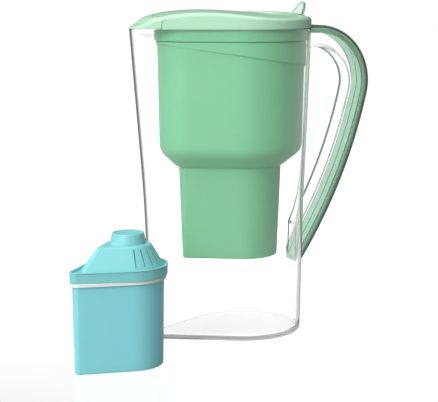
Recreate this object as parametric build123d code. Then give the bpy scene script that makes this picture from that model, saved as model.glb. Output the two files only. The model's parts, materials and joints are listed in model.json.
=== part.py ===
"""Water filter pitcher: a clear jug with a handle, a funnel that hangs in it, a domed lid with two
flaps, and a filter cartridge that stands beside it. Millimetres, +Z up. The origin lies on the
jug's flat base, at the centre of its round rear end: -X is the spout and +X is the handle.

Every plan outline is a teardrop: a round rear, a small nose circle and the two straight sides
that touch both. A section is written (rear radius, nose centre, nose radius), and its rear
circle is centred on the piece's own upright axis.
"""

import os
from math import acos, asin, cos, pi, radians, sin

from build123d import *

os.makedirs("parts", exist_ok=True)

# Fits, shared by every piece
SLIP = 0.3  # between pieces that are lifted apart by hand
SNAP = 0.1  # each side of the grip cover, which clips over the clear handle
RUNNING = 0.06  # round a hinge pin, on the radius
TINY = 0.02  # round a pin in the piece that holds it
OVERCUT = 1.0  # how far a cutting body runs past the face that it opens
FAR = 400.0  # half the size of a cutting block that only has to reach past everything

# Jug: draws straight up to the knee, then flares to the rim
JUG_HEIGHT = 255.5
JUG_WALL = 2.5
JUG_FLOOR = 3.0
JUG_REAR_RADIUS = 49.0
JUG_NOSE_AT = -71.0
SIDE_SLOPE = 0.491  # rear radius less nose radius, for each unit between their centres
JUG_DRAFT = 0.019  # wall moved outward for each unit of height, all round
JUG_KNEE = 105.0
JUG_KNEE_SOFT = 40.0  # the flare starts this far below the knee and is full this far above
JUG_REAR_FLARE = 0.0175  # rear radius gained above the knee, for each unit of height
JUG_NOSE_FLARE = -0.0914  # nose centre moved there
JUG_BASE_ROUND = 2.4
LEDGE_WIDTH = 1.2  # the inner ledge that carries the funnel
LEDGE_TALL = 2.0
LEDGE_FRONT = -60.0  # the ledge stops here and leaves the spout free

# Handle: a short level run, a bend and a long gentle fall, all tangent
HANDLE_RISE = 1.5  # top of the grip above the jug's rim
HANDLE_RUN = 9.5  # from the rim to the start of the bend
HANDLE_BEND_RADIUS = 48.0
HANDLE_BEND_TURN = 103.0
HANDLE_FALL_RADIUS = 420.0
HANDLE_FALL_TURN = 20.0
HANDLE_DEEP = 18.5
GRIP_WIDE = 23.0
GRIP_DEEP = 6.6
GRIP_WALL = 2.2
CORE_WALL = 2.3
HANDLE_CORNER = 2.0  # rounding along the grip's outer edges

# Funnel: flange, skirt, bowl, rounded shoulder and cartridge well
FLANGE_TALL = 9.8
FLANGE_WALL = 2.2
FUNNEL_NOSE_AT = -48.3
FLANGE_SLOPE = 0.5133
SKIRT_FRONT_DROP = 2.6  # how far the skirt hangs below the flange, at the nose
SKIRT_REAR_DROP = 23.0  # and at the rear
BOWL_WALL = 2.0
BOWL_CLEAR = 2.6  # between the bowl's top and the inside of the jug
BOWL_TAPER = 1.7  # radius lost from the bowl's top to its foot
BOWL_TALL = 88.7
BOWL_NOSE_AT = -46.5
SHOULDER_TALL = 15.0
SHOULDER = [(0.17, 0.06), (0.74, 0.6), (0.93, 0.84), (1.0, 1.0)]  # shares outward and upward
WELL_WALL = 2.2
WELL_CLEAR = 0.5  # round the cartridge's seal
WELL_TAPER = 3.0
WELL_TALL = 77.0
WELL_NOSE_AT = -50.0
WELL_FLOOR = 2.0
WELL_FOOT_ROUND = 1.5
OUTLET_RADIUS = 2.5
OUTLET_RING = 15.0
OUTLET_COUNT = 8

# Lid: its crown rises above the jug's rim by these amounts, from the nose to the rear
CROWN_NOSE = 2.7
CROWN_SPOUT = 10.1  # over the spout hinge
CROWN_PEAK = 15.1
CROWN_MIDDLE = 12.7
CROWN_HINGE = 9.7  # over the fill hinge
CROWN_REAR = 5.6
CROWN_ARCH = 350.0  # radius of the crown across the lid
CROWN_DEEP = 20.0  # how far the crown's cutting blocks reach below the rim
LID_WALL = 2.0
CROWN_WALL = 2.2
LID_ROUND = 3.0
PLUG_WALL = 1.6  # the ring under the lid that drops into the funnel's mouth
PLUG_DEEP = 5.0

# Hinges, both across the lid
KNUCKLE_RADIUS = 2.2
KNUCKLE_GAP = 0.3
PIN_RADIUS = 1.1
SPOUT_HINGE_BACK = 4.75  # from the centre of the rim's nose back to the spout hinge
SPOUT_MIDDLE = 6.0  # half width of the flap's middle knuckle
SPOUT_LUG = 3.7  # length of each of the lid's two knuckles
FILL_HINGE_IN = 7.49  # from the rear of the rim in to the fill hinge
FILL_KNUCKLE = 3.4
FILL_LUG = 3.5

# Fill opening, its flap and the thumb tab
FLAP_LONG = 42.0
FLAP_WIDE = 48.0
FLAP_CORNER = 18.0
FLAP_TAIL = 1.0  # how far its outline runs past the fill hinge
FLAP_THICK = 2.0
FLAP_PROUD = 1.0
FLAP_LAND = 4.5  # how far the flap overlaps its opening all round
SEAT_THICK = 2.5
TAB_WIDE = 18.0
TAB_LONG = 14.5
TAB_THICK = 2.4
TAB_LEAN = 30.0
TAB_TIP_RADIUS = 3.0

# Cartridge, drawn about its own axis with its nose to -X, then stood on the floor
CARTRIDGE_X = -125.7
CARTRIDGE_Y = -63.6
CARTRIDGE_TURN = 18.3
CUP_RADIUS = 26.4  # at its foot
CUP_NOSE_AT = -47.3
CUP_NOSE_RADIUS = 3.6
CUP_TAPER = 1.2  # both radii gained from the foot to the seal
CUP_SHOWN = 67.7  # height of the cup below the white seal
CUP_NECK = 4.9  # the rest of it, inside the seal and the cap
CUP_WALL = 1.6
CUP_FLOOR = 1.6
CUP_ROUND = 1.0
SEAL_TALL = 2.8
SEAL_WIDE = 1.7
CAP_RADIUS = 30.3
CAP_NOSE_AT = -49.2
CAP_NOSE_RADIUS = 5.0
CAP_TALL = 8.6  # height of its upright rim
CAP_LIP = 0.5
DOME_RADIUS = 26.6  # at its foot
DOME_NOSE_AT = -40.4
DOME_SLOPE = 0.574
DOME_TOP_RADIUS = 18.0
DOME_TOP_NOSE_AT = -26.0
DOME_TALL = 15.8
DOME_EDGE = 1.0  # the bevel round its flat top
CAP_WALL = 1.8
KNOB_FOOT_RADIUS = 14.0
KNOB_TOP_RADIUS = 12.2
KNOB_TALL = 8.2
KNOB_DISH = 1.0
KNOB_LIP = 0.8  # flat ring round the dish
INLET_COUNT = 15
INLET_WIDE = 1.0
INLET_TALL = 12.6
INLET_STEP = 16.4  # degrees between the inlet slots round the dome's rear
SCREEN_THICK = 1.2
SCREEN_HOLE = 4.0
SCREEN_PITCH = 6.5
SCREEN_ROWS = 9
OUTLET_SLOT = 2.0
OUTLET_SLOTS = 7
OUTLET_SLOT_STEP = 6.0
OUTLET_SLOT_SHARE = 0.6  # how much of the floor's width each slot spans
LOWER_PAD = 3.0
MINERAL_BED = 12.0
DIVIDER = 2.0
RESIN_BED = 22.0
CARBON_BED = 23.6

FLANGE_FOOT = JUG_HEIGHT - FLANGE_TALL
BOWL_FOOT_AT = FLANGE_FOOT - BOWL_TALL
WELL_TOP_AT = BOWL_FOOT_AT - SHOULDER_TALL
WELL_FOOT_AT = WELL_TOP_AT - WELL_TALL
RIM_RADIUS = JUG_REAR_RADIUS + JUG_DRAFT * JUG_HEIGHT + JUG_REAR_FLARE * (JUG_HEIGHT - JUG_KNEE)
RIM_NOSE_AT = JUG_NOSE_AT + JUG_NOSE_FLARE * (JUG_HEIGHT - JUG_KNEE)
HANDLE_TOP = JUG_HEIGHT + HANDLE_RISE
HANDLE_BEND_AT = RIM_RADIUS + HANDLE_RUN
CORE_WIDE = GRIP_WIDE - 2 * (GRIP_WALL + SNAP)
CORE_TOP = GRIP_WALL + SLIP  # depth of the clear handle's edges below the grip's outer face
SPOUT_HINGE_AT = RIM_NOSE_AT + SPOUT_HINGE_BACK
SPOUT_HINGE_Z = JUG_HEIGHT + CROWN_SPOUT - KNUCKLE_RADIUS
FILL_HINGE_AT = RIM_RADIUS - FILL_HINGE_IN
FILL_HINGE_Z = JUG_HEIGHT + CROWN_HINGE + FLAP_PROUD - KNUCKLE_RADIUS
FILL_SLOT_FRONT = FILL_HINGE_AT - KNUCKLE_RADIUS - 2 * KNUCKLE_GAP
FLAP_AT = FILL_HINGE_AT + FLAP_TAIL - FLAP_LONG / 2
LID_FRONT = RIM_NOSE_AT - 0.4 * JUG_REAR_RADIUS  # the crown starts just ahead of the nose
LID_PEAK_AT = SPOUT_HINGE_AT / 2
LID_MIDDLE_AT = FILL_HINGE_AT / 5
LID_REAR = RIM_RADIUS + 2 * LID_ROUND  # and ends just past the rear
LID_TOP = JUG_HEIGHT + CROWN_PEAK + LID_WALL
CAP_FOOT = CUP_SHOWN + SEAL_TALL
CUP_TALL = CUP_SHOWN + CUP_NECK
CUP_FOOT = CUP_RADIUS, CUP_NOSE_AT, CUP_NOSE_RADIUS
CUP_TOP = CUP_RADIUS + CUP_TAPER, CUP_NOSE_AT, CUP_NOSE_RADIUS + CUP_TAPER
CAP_RIM = CAP_RADIUS, CAP_NOSE_AT, CAP_NOSE_RADIUS

# The crown's height over the middle line, as (x, height)
RIDGE = [
    (LID_FRONT, JUG_HEIGHT + CROWN_NOSE),
    (SPOUT_HINGE_AT, JUG_HEIGHT + CROWN_SPOUT),
    (LID_PEAK_AT, JUG_HEIGHT + CROWN_PEAK),
    (LID_MIDDLE_AT, JUG_HEIGHT + CROWN_MIDDLE),
    (FILL_HINGE_AT, JUG_HEIGHT + CROWN_HINGE),
    (LID_REAR, JUG_HEIGHT + CROWN_REAR),
]


def teardrop(radius, nose_at, slope=SIDE_SLOPE):
    """The section of this rear radius and nose centre whose straight sides have a set slope."""
    return radius, nose_at, radius + slope * nose_at


def inset(section, by):
    """The same teardrop with its wall moved inward by a distance."""
    radius, nose_at, nose_radius = section
    return radius - by, nose_at, nose_radius - by


def between(first, second, share):
    """A teardrop part of the way from one section to another."""
    return tuple(a + (b - a) * share for a, b in zip(first, second))


def outline(section, height=0.0):
    """The flat face of a teardrop at a height."""
    radius, nose_at, nose_radius = section
    lean = acos((nose_radius - radius) / nose_at)

    def touch(of_radius, about, side):
        return about - of_radius * cos(lean), side * of_radius * sin(lean)

    near_rear, far_rear = touch(radius, 0, -1), touch(radius, 0, 1)
    near_nose, far_nose = touch(nose_radius, nose_at, -1), touch(nose_radius, nose_at, 1)
    edges = [
        ThreePointArc(near_rear, (radius, 0), far_rear),
        Line(far_rear, far_nose),
        ThreePointArc(far_nose, (nose_at - nose_radius, 0), near_nose),
        Line(near_nose, near_rear),
    ]
    return Pos(0, 0, height) * make_face(edges)


def stack(levels):
    """A solid through teardrops at rising heights, each given as (height, section)."""
    return loft([outline(section, height) for height, section in levels], ruled=True)


def column(section, low, high):
    """An upright solid of one teardrop."""
    return extrude(outline(section, low), high - low)


def footed(levels, reach):
    """The same levels with the lower edge eased off by a reach, in two slopes."""
    (foot, section), *above = levels
    eased = [(foot, inset(section, reach)), (foot + reach / 4, inset(section, reach / 4))]
    return [*eased, (foot + reach, section), *above]


def rounded_step(low_at, low, high_at, high):
    """Levels of the funnel's shoulder: a straight slope that rounds into the upright bowl."""
    levels = [(low_at, low)]
    for reach, rise in SHOULDER:
        levels.append((low_at + (high_at - low_at) * rise, between(low, high, reach)))
    return levels


def rod(radius, start, end, x, z):
    """A round bar along Y, between two Y values."""
    return Pos(x, (start + end) / 2, z) * Rot(90, 0, 0) * Cylinder(radius, abs(end - start))


def block(low, high):
    """A box between two corners."""
    size = [b - a for a, b in zip(low, high)]
    middle = [(a + b) / 2 for a, b in zip(low, high)]
    return Pos(*middle) * Box(*size)


def jug_section(height, by=0.0):
    """The jug's teardrop at a height, with its wall moved inward."""
    start = JUG_KNEE - JUG_KNEE_SOFT
    rise = min(max(height - start, 0.0), 2 * JUG_KNEE_SOFT)
    flared = rise**2 / (4 * JUG_KNEE_SOFT) + max(height - JUG_KNEE - JUG_KNEE_SOFT, 0.0)
    radius = JUG_REAR_RADIUS + JUG_DRAFT * height + JUG_REAR_FLARE * flared
    nose_radius = teardrop(JUG_REAR_RADIUS, JUG_NOSE_AT)[2] + JUG_DRAFT * height
    nose_at = JUG_NOSE_AT + JUG_NOSE_FLARE * flared
    nose_radius += (JUG_REAR_FLARE + SIDE_SLOPE * JUG_NOSE_FLARE) * flared
    return inset((radius, nose_at, nose_radius), by)


def jug_levels(low, high, by=0.0):
    """The jug's sections between two heights, with its wall moved inward."""
    soft = [JUG_KNEE + JUG_KNEE_SOFT * share for share in (-1, 0, 1)]
    heights = [low, *[h for h in soft if low < h < high], high]
    return [(h, jug_section(h, by)) for h in heights]


def handle_line(depth, start_x, extra_turn=0.0):
    """The handle's side line at a depth below the grip's outer face: level run, bend and fall."""
    centre_z = HANDLE_TOP - HANDLE_BEND_RADIUS
    bend = HANDLE_BEND_RADIUS - depth
    fall = HANDLE_FALL_RADIUS - depth
    past = radians(HANDLE_BEND_TURN - 90)
    far_x = HANDLE_BEND_AT - (HANDLE_FALL_RADIUS - HANDLE_BEND_RADIUS) * cos(past)
    far_z = centre_z + (HANDLE_FALL_RADIUS - HANDLE_BEND_RADIUS) * sin(past)

    def on_bend(turn):
        return HANDLE_BEND_AT + bend * sin(turn), centre_z + bend * cos(turn)

    def on_fall(turn):
        return far_x + fall * cos(past + turn), far_z - fall * sin(past + turn)

    end = radians(HANDLE_FALL_TURN + extra_turn)
    level = Line((start_x, HANDLE_TOP - depth), on_bend(0))
    curve = ThreePointArc(on_bend(0), on_bend((pi / 2 + past) / 2), on_bend(pi / 2 + past))
    drop = ThreePointArc(on_fall(0), on_fall(end / 2), on_fall(end))
    return [level, curve, drop]


def handle_band(top, bottom, wide, start_x, extra_turn=0.0):
    """The part of the handle between two depths, of one width."""
    outer = handle_line(top, start_x, extra_turn)
    inner = handle_line(bottom, start_x, extra_turn)
    ends = [Line(outer[0] @ 0, inner[0] @ 0), Line(outer[2] @ 1, inner[2] @ 1)]
    face = Plane.XZ * make_face([*outer, *inner, *ends])
    return extrude(face, wide / 2, both=True)


def clear_handle():
    """The jug's own handle: a channel, open outward, that the grip covers."""
    start = JUG_REAR_RADIUS - JUG_WALL
    whole = handle_band(CORE_TOP, HANDLE_DEEP, CORE_WIDE, start)
    hollow_wide = CORE_WIDE - 2 * CORE_WALL
    end_web = -CORE_WALL / HANDLE_FALL_RADIUS * 180 / pi
    hollow = handle_band(-OVERCUT, HANDLE_DEEP - CORE_WALL, hollow_wide, start, end_web)
    return whole - hollow


def jug_body():
    """The clear vessel with the handle and the inner ledge, in one moulding."""
    outside = stack(footed(jug_levels(0, JUG_HEIGHT), JUG_BASE_ROUND))
    inside = stack(footed(jug_levels(JUG_FLOOR, JUG_HEIGHT + OVERCUT, JUG_WALL), JUG_BASE_ROUND))
    ledge_foot = FLANGE_FOOT - LEDGE_TALL
    band = stack(jug_levels(ledge_foot - LEDGE_WIDTH, FLANGE_FOOT, JUG_WALL / 2))
    throat = jug_section(FLANGE_FOOT, JUG_WALL + LEDGE_WIDTH)
    below = jug_section(ledge_foot - LEDGE_WIDTH, JUG_WALL)
    bore = stack([(ledge_foot - LEDGE_WIDTH, below), (ledge_foot, throat)])
    bore += column(throat, ledge_foot, FLANGE_FOOT)
    front = block((-FAR, -FAR, 0), (LEDGE_FRONT, FAR, JUG_HEIGHT))
    ledge = band - bore - front
    return outside + clear_handle() - inside + ledge


def handle_cover():
    """The grip: a channel, open inward, clipped over the clear handle."""
    start = JUG_REAR_RADIUS
    shell = handle_band(0, GRIP_DEEP, GRIP_WIDE, start)
    outer_edges = shell.edges().filter_by(
        lambda edge: abs(abs(edge.center().Y) - GRIP_WIDE / 2) < 0.01
        and handle_depth(edge.position_at(0.5)) < 0.01
    )
    shell = fillet(outer_edges, HANDLE_CORNER)
    hollow = handle_band(GRIP_WALL, HANDLE_DEEP, GRIP_WIDE - 2 * GRIP_WALL, start - OVERCUT, 1)
    return shell - hollow - stack(jug_levels(0, JUG_HEIGHT + LID_ROUND, -SLIP))


def handle_depth(point):
    """How deep a point of the XZ plane lies below the grip's outer face."""
    past = radians(HANDLE_BEND_TURN - 90)
    centre_z = HANDLE_TOP - HANDLE_BEND_RADIUS
    if point.X < HANDLE_BEND_AT and point.Z > centre_z:
        return HANDLE_TOP - point.Z
    reach = Vector(point.X - HANDLE_BEND_AT, 0, point.Z - centre_z)
    if point.Z > centre_z - HANDLE_BEND_RADIUS * sin(past):
        return HANDLE_BEND_RADIUS - reach.length
    apart = HANDLE_FALL_RADIUS - HANDLE_BEND_RADIUS
    reach += Vector(apart * cos(past), 0, -apart * sin(past))
    return HANDLE_FALL_RADIUS - reach.length


def flange_section(height, by=0.0):
    """The funnel's rim: it follows the jug's wall at the rear and keeps clear of the spout."""
    radius = jug_section(height, JUG_WALL + SLIP)[0]
    return inset(teardrop(radius, FUNNEL_NOSE_AT, FLANGE_SLOPE), by)


def funnel():
    """The hanging reservoir, with the well that the cartridge drops into."""
    bowl_top = teardrop(jug_section(FLANGE_FOOT, JUG_WALL + BOWL_CLEAR)[0], BOWL_NOSE_AT)
    bowl_foot = inset(bowl_top, BOWL_TAPER)
    well_top = teardrop(CUP_TOP[0] + SEAL_WIDE + WELL_CLEAR + WELL_WALL, WELL_NOSE_AT)
    well_foot = inset(well_top, WELL_TAPER)
    shoulder = rounded_step(WELL_TOP_AT, well_top, BOWL_FOOT_AT, bowl_foot)
    levels = [(WELL_FOOT_AT, well_foot), *shoulder, (FLANGE_FOOT, bowl_top)]
    outside = stack(footed(levels, WELL_FOOT_ROUND))
    flange = stack([(h, flange_section(h)) for h in (FLANGE_FOOT, JUG_HEIGHT)])
    throat = jug_section(FLANGE_FOOT, JUG_WALL + LEDGE_WIDTH + SLIP)[0]
    skirt_by = flange_section(FLANGE_FOOT)[0] - throat
    skirt = column(flange_section(FLANGE_FOOT, skirt_by), FLANGE_FOOT - SKIRT_REAR_DROP, FLANGE_FOOT)
    front, rear = FUNNEL_NOSE_AT - flange_section(JUG_HEIGHT)[2], throat
    slope = (SKIRT_REAR_DROP - SKIRT_FRONT_DROP) / (rear - front)
    low = FLANGE_FOOT - SKIRT_REAR_DROP - OVERCUT
    corners = [
        (front - OVERCUT, low),
        (rear + OVERCUT, low),
        (rear + OVERCUT, FLANGE_FOOT - SKIRT_REAR_DROP - slope * OVERCUT),
        (front - OVERCUT, FLANGE_FOOT - SKIRT_FRONT_DROP + slope * OVERCUT),
    ]
    slant = extrude(Plane.XZ * make_face(Polyline(*corners, close=True)), FAR, both=True)
    low, high = inset(well_top, WELL_WALL), inset(bowl_foot, BOWL_WALL)
    hollow = stack(
        [
            (WELL_FOOT_AT + WELL_FLOOR, inset(well_foot, WELL_WALL)),
            *rounded_step(WELL_TOP_AT + BOWL_WALL, low, BOWL_FOOT_AT, high),
            (FLANGE_FOOT, inset(bowl_top, BOWL_WALL)),
            (FLANGE_FOOT + FLANGE_WALL, flange_section(FLANGE_FOOT, FLANGE_WALL)),
            (JUG_HEIGHT + OVERCUT, flange_section(JUG_HEIGHT, FLANGE_WALL)),
        ]
    )
    body = outside + flange + (skirt - slant) - hollow
    hole = Pos(0, 0, WELL_FOOT_AT) * Cylinder(OUTLET_RADIUS, 4 * WELL_FLOOR)
    return body - hole - [place * hole for place in PolarLocations(OUTLET_RING, OUTLET_COUNT)]


def crown(lowered=0.0):
    """A block whose top is the lid's crown: the ridge line, arched across."""
    half_wide = RIM_RADIUS + CROWN_DEEP / 2
    low = JUG_HEIGHT - CROWN_DEEP
    faces = []
    for x, ridge in RIDGE:
        top = ridge - lowered
        side = top - (CROWN_ARCH - (CROWN_ARCH**2 - half_wide**2) ** 0.5)
        edges = [
            Line((-half_wide, low), (-half_wide, side)),
            ThreePointArc((-half_wide, side), (0, top), (half_wide, side)),
            Line((half_wide, side), (half_wide, low)),
            Line((half_wide, low), (-half_wide, low)),
        ]
        faces.append(Plane.YZ.offset(x) * make_face(edges))
    return loft(faces)


def lid_envelope():
    """The outer form of the lid and its spout flap together."""
    body = column(jug_section(JUG_HEIGHT), JUG_HEIGHT, LID_TOP) & crown()
    upper = body.edges().filter_by(
        lambda edge: edge.center().Z > JUG_HEIGHT + OVERCUT
        and abs(edge.tangent_at(0.5).Z) < 0.8
    )
    return fillet(upper, LID_ROUND)


def lid_whole(envelope):
    """The lid and spout flap as one open shell, before the hinge line parts them."""
    hollow = column(jug_section(JUG_HEIGHT, LID_WALL), JUG_HEIGHT - OVERCUT, LID_TOP)
    return envelope - (hollow & crown(CROWN_WALL))


def fill_outline(grown):
    """The rounded plan of the fill flap, grown or shrunk, as a tall column."""
    long, wide = FLAP_LONG + 2 * grown, FLAP_WIDE + 2 * grown
    face = Pos(FLAP_AT, 0, JUG_HEIGHT) * RectangleRounded(long, wide, FLAP_CORNER + grown)
    return extrude(face, LID_TOP - JUG_HEIGHT)


def hinge_zones(zones, radius, x, z):
    """Round bars on a hinge line, one for each (start, end), on both sides of the middle."""
    return [rod(radius, side * start, side * end, x, z) for start, end in zones for side in (-1, 1)]


def lid_shell(envelope):
    """The lid's fixed part, with the plug ring, the fill opening and both hinges' lugs."""
    under = crown(FLAP_THICK - FLAP_PROUD + SLIP)
    body = lid_whole(envelope)
    plug_by = FLANGE_WALL + SLIP
    plug = column(flange_section(JUG_HEIGHT, plug_by), JUG_HEIGHT - PLUG_DEEP, LID_TOP)
    plug -= column(flange_section(JUG_HEIGHT, plug_by + PLUG_WALL), JUG_HEIGHT - CROWN_DEEP, LID_TOP)
    seat = fill_outline(LID_WALL) & under
    seat -= crown(FLAP_THICK - FLAP_PROUD + SLIP + SEAT_THICK)
    lug_start = TAB_WIDE / 2 + FILL_KNUCKLE + 2 * KNUCKLE_GAP
    floor = FILL_HINGE_Z - KNUCKLE_RADIUS - 2 * KNUCKLE_GAP
    rear = FILL_HINGE_AT + KNUCKLE_RADIUS + KNUCKLE_GAP
    lugs = block(
        (FILL_SLOT_FRONT, -lug_start - FILL_LUG, floor - CROWN_WALL),
        (rear + CROWN_WALL, lug_start + FILL_LUG, LID_TOP),
    )
    body += [plug & crown(CROWN_WALL / 2), seat, lugs & crown(SLIP)]
    notch = TAB_WIDE / 2 + KNUCKLE_GAP
    bore = PIN_RADIUS + RUNNING
    spout = SPOUT_HINGE_AT, SPOUT_HINGE_Z
    lug_zone = (SPOUT_MIDDLE + KNUCKLE_GAP, SPOUT_MIDDLE + KNUCKLE_GAP + SPOUT_LUG)
    flap_zones = [(-OVERCUT, lug_zone[0]), (lug_zone[1], FAR)]
    body -= [
        block((-FAR, -FAR, JUG_HEIGHT - OVERCUT), (SPOUT_HINGE_AT + KNUCKLE_GAP, FAR, LID_TOP)),
        fill_outline(SLIP) - under,
        fill_outline(-FLAP_LAND),
        block((FILL_SLOT_FRONT, -lug_start, floor), (rear, lug_start, LID_TOP)),
        block((FILL_HINGE_AT, -notch, floor), (LID_REAR, notch, LID_TOP)),
        rod(bore, -lug_start - FILL_LUG, lug_start + FILL_LUG, FILL_HINGE_AT, FILL_HINGE_Z),
        *hinge_zones(flap_zones, KNUCKLE_RADIUS + KNUCKLE_GAP, *spout),
    ]
    body += [bar & envelope for bar in hinge_zones([lug_zone], KNUCKLE_RADIUS, *spout)]
    return body - hinge_zones([(SPOUT_MIDDLE, lug_zone[1] + OVERCUT)], bore, *spout)


def spout_flap(envelope):
    """The nose of the lid, which swings up as the jug pours. Its stub pins are moulded on."""
    body = lid_whole(envelope)
    body -= [
        block((SPOUT_HINGE_AT, -FAR, JUG_HEIGHT - OVERCUT), (FAR, FAR, LID_TOP)),
        block((-FAR, -FAR, JUG_HEIGHT - OVERCUT), (FAR, FAR, JUG_HEIGHT + SLIP)),
    ]
    lug_zone = (SPOUT_MIDDLE, SPOUT_MIDDLE + SPOUT_LUG + 2 * KNUCKLE_GAP)
    spout = SPOUT_HINGE_AT, SPOUT_HINGE_Z
    barrels = hinge_zones([(-OVERCUT, lug_zone[0]), (lug_zone[1], RIM_RADIUS)], KNUCKLE_RADIUS, *spout)
    body += [bar & envelope for bar in barrels]
    body -= hinge_zones([lug_zone], KNUCKLE_RADIUS + KNUCKLE_GAP, *spout)
    return body + hinge_zones([(SPOUT_MIDDLE - OVERCUT, lug_zone[1] + OVERCUT)], PIN_RADIUS, *spout)


def flap_skin():
    """The layer over the lid's crown that the refill flap and the tab's tongue are cut from."""
    return crown(-FLAP_PROUD) - crown(FLAP_THICK - FLAP_PROUD)


def fill_flap():
    """The refill flap, with two knuckles on the hinge pin and a seat for the thumb tab."""
    rear = FILL_SLOT_FRONT - KNUCKLE_GAP
    start = TAB_WIDE / 2 + KNUCKLE_GAP
    end = start + FILL_KNUCKLE
    plan = fill_outline(0) - block((rear, -FAR, JUG_HEIGHT), (FAR, FAR, LID_TOP))
    arm = block((rear - OVERCUT, start, FILL_HINGE_Z), (FILL_HINGE_AT, end, LID_TOP))
    body = (plan + arm + mirror(arm, Plane.XZ)) & flap_skin()
    body += hinge_zones([(start, end)], KNUCKLE_RADIUS, FILL_HINGE_AT, FILL_HINGE_Z)
    return body - hinge_zones([(0, end + OVERCUT)], PIN_RADIUS + TINY, FILL_HINGE_AT, FILL_HINGE_Z)


def fill_flap_pin():
    """The pin through the flap's knuckles, the tab and the lid's lugs."""
    half = TAB_WIDE / 2 + 2 * KNUCKLE_GAP + FILL_KNUCKLE + FILL_LUG
    return rod(PIN_RADIUS, -half, half, FILL_HINGE_AT, FILL_HINGE_Z)


def thumb_tab():
    """The thumb lever: a pointed paddle that rises from a barrel on the hinge pin."""
    half = TAB_WIDE / 2
    side_radius = (half**2 + TAB_LONG**2) / TAB_WIDE
    middle = asin(TAB_LONG / side_radius) / 2
    bulge = half - side_radius + side_radius * cos(middle), side_radius * sin(middle)
    sides = [
        Line((-half, 0), (half, 0)),
        ThreePointArc((half, 0), bulge, (0, TAB_LONG)),
        ThreePointArc((0, TAB_LONG), (-bulge[0], bulge[1]), (-half, 0)),
    ]
    face = make_face(sides)
    face = fillet(face.vertices().sort_by(Axis.Y)[-1], TAB_TIP_RADIUS)
    paddle = extrude(Plane.YZ * face, TAB_THICK / 2, both=True)
    paddle = Pos(FILL_HINGE_AT, 0, FILL_HINGE_Z) * Rot(0, TAB_LEAN, 0) * paddle
    body = paddle + rod(KNUCKLE_RADIUS, -half, half, FILL_HINGE_AT, FILL_HINGE_Z)
    front = FILL_SLOT_FRONT - KNUCKLE_GAP
    tongue = block((front, -half, FILL_HINGE_Z), (FILL_HINGE_AT, half, LID_TOP))
    body += tongue & flap_skin()
    return body - rod(PIN_RADIUS + TINY, -half, half, FILL_HINGE_AT, FILL_HINGE_Z)


def cup_section(height, by=0.0):
    """The cartridge cup's teardrop at a height, straight above the shown part."""
    return inset(between(CUP_FOOT, CUP_TOP, min(height / CUP_SHOWN, 1.0)), by)


def cup_levels(low, high, by=0.0):
    """The cup's sections between two heights, with its wall moved inward."""
    heights = [low, *[h for h in [CUP_SHOWN] if low < h < high], high]
    return [(h, cup_section(h, by)) for h in heights]


def cartridge_cup():
    """The tapered cup that holds the filter beds, with outlet slots in its floor."""
    outside = stack(footed(cup_levels(0, CUP_TALL), CUP_ROUND))
    inside = stack(cup_levels(CUP_FLOOR, CUP_TALL + OVERCUT, CUP_WALL))
    slots = []
    for step in range(OUTLET_SLOTS):
        x = (step - (OUTLET_SLOTS - 1) / 2) * OUTLET_SLOT_STEP
        half = OUTLET_SLOT_SHARE * (CUP_RADIUS**2 - x**2) ** 0.5
        side = OUTLET_SLOT / 2
        slots.append(block((x - side, -half, -OVERCUT), (x + side, half, CUP_FLOOR + OVERCUT)))
    return outside - inside - slots


def cartridge_seal():
    """The white ring between the cup and the cap, which closes the well's mouth."""
    outer = column(inset(CUP_TOP, -SEAL_WIDE), CUP_SHOWN, CAP_FOOT)
    return outer - column(CUP_TOP, CUP_SHOWN - OVERCUT, CAP_FOOT + OVERCUT)


def cartridge_cap():
    """The slotted cap: rim, domed top and the round knob that it is lifted by."""
    rim_top = CAP_FOOT + CAP_TALL
    dome_top = rim_top + DOME_TALL
    lip = inset(CAP_RIM, -CAP_LIP)
    body = column(CAP_RIM, CAP_FOOT, rim_top) + column(lip, rim_top - 2 * CAP_LIP, rim_top)
    dome_foot = teardrop(DOME_RADIUS, DOME_NOSE_AT, DOME_SLOPE)
    dome_edge = teardrop(DOME_TOP_RADIUS, DOME_TOP_NOSE_AT, DOME_SLOPE)
    body += stack(
        [(rim_top, dome_foot), (dome_top - DOME_EDGE, dome_edge), (dome_top, inset(dome_edge, DOME_EDGE))]
    )
    knob = Cone(KNOB_FOOT_RADIUS, KNOB_TOP_RADIUS, KNOB_TALL, align=(Align.CENTER, Align.CENTER, Align.MIN))
    body += Pos(0, 0, dome_top) * knob
    dish = Cone(0, KNOB_TOP_RADIUS - KNOB_LIP, KNOB_DISH, align=(Align.CENTER, Align.CENTER, Align.MAX))
    body -= Pos(0, 0, dome_top + KNOB_TALL) * dish
    neck_room = inset(CUP_TOP, -SLIP)
    room_top = CUP_TALL + SCREEN_THICK + SLIP
    body -= column(neck_room, CAP_FOOT - OVERCUT, room_top)
    foot_room, top_room = inset(dome_foot, CAP_WALL), inset(dome_edge, CAP_WALL)
    body -= stack([(room_top - OVERCUT, foot_room), (rim_top, foot_room), (dome_top - CAP_WALL, top_room)])
    hollow = Cylinder(KNOB_TOP_RADIUS - CAP_WALL, KNOB_TALL, align=(Align.CENTER, Align.CENTER, Align.MAX))
    body -= Pos(0, 0, dome_top + KNOB_TALL - KNOB_DISH - CAP_WALL) * hollow
    return body - inlet_slots(rim_top)


def inlet_slots(foot):
    """Thin upright slots, fanned round the dome's rear."""
    low, high = foot + CAP_WALL / 2, foot + CAP_WALL / 2 + INLET_TALL
    reach = CAP_RADIUS + OVERCUT
    start = DOME_TOP_RADIUS - 2 * CAP_WALL
    slot = block((start, -INLET_WIDE / 2, low), (reach, INLET_WIDE / 2, high))
    first = -(INLET_COUNT - 1) / 2 * INLET_STEP
    return [Rot(0, 0, first + step * INLET_STEP) * slot for step in range(INLET_COUNT)]


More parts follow.
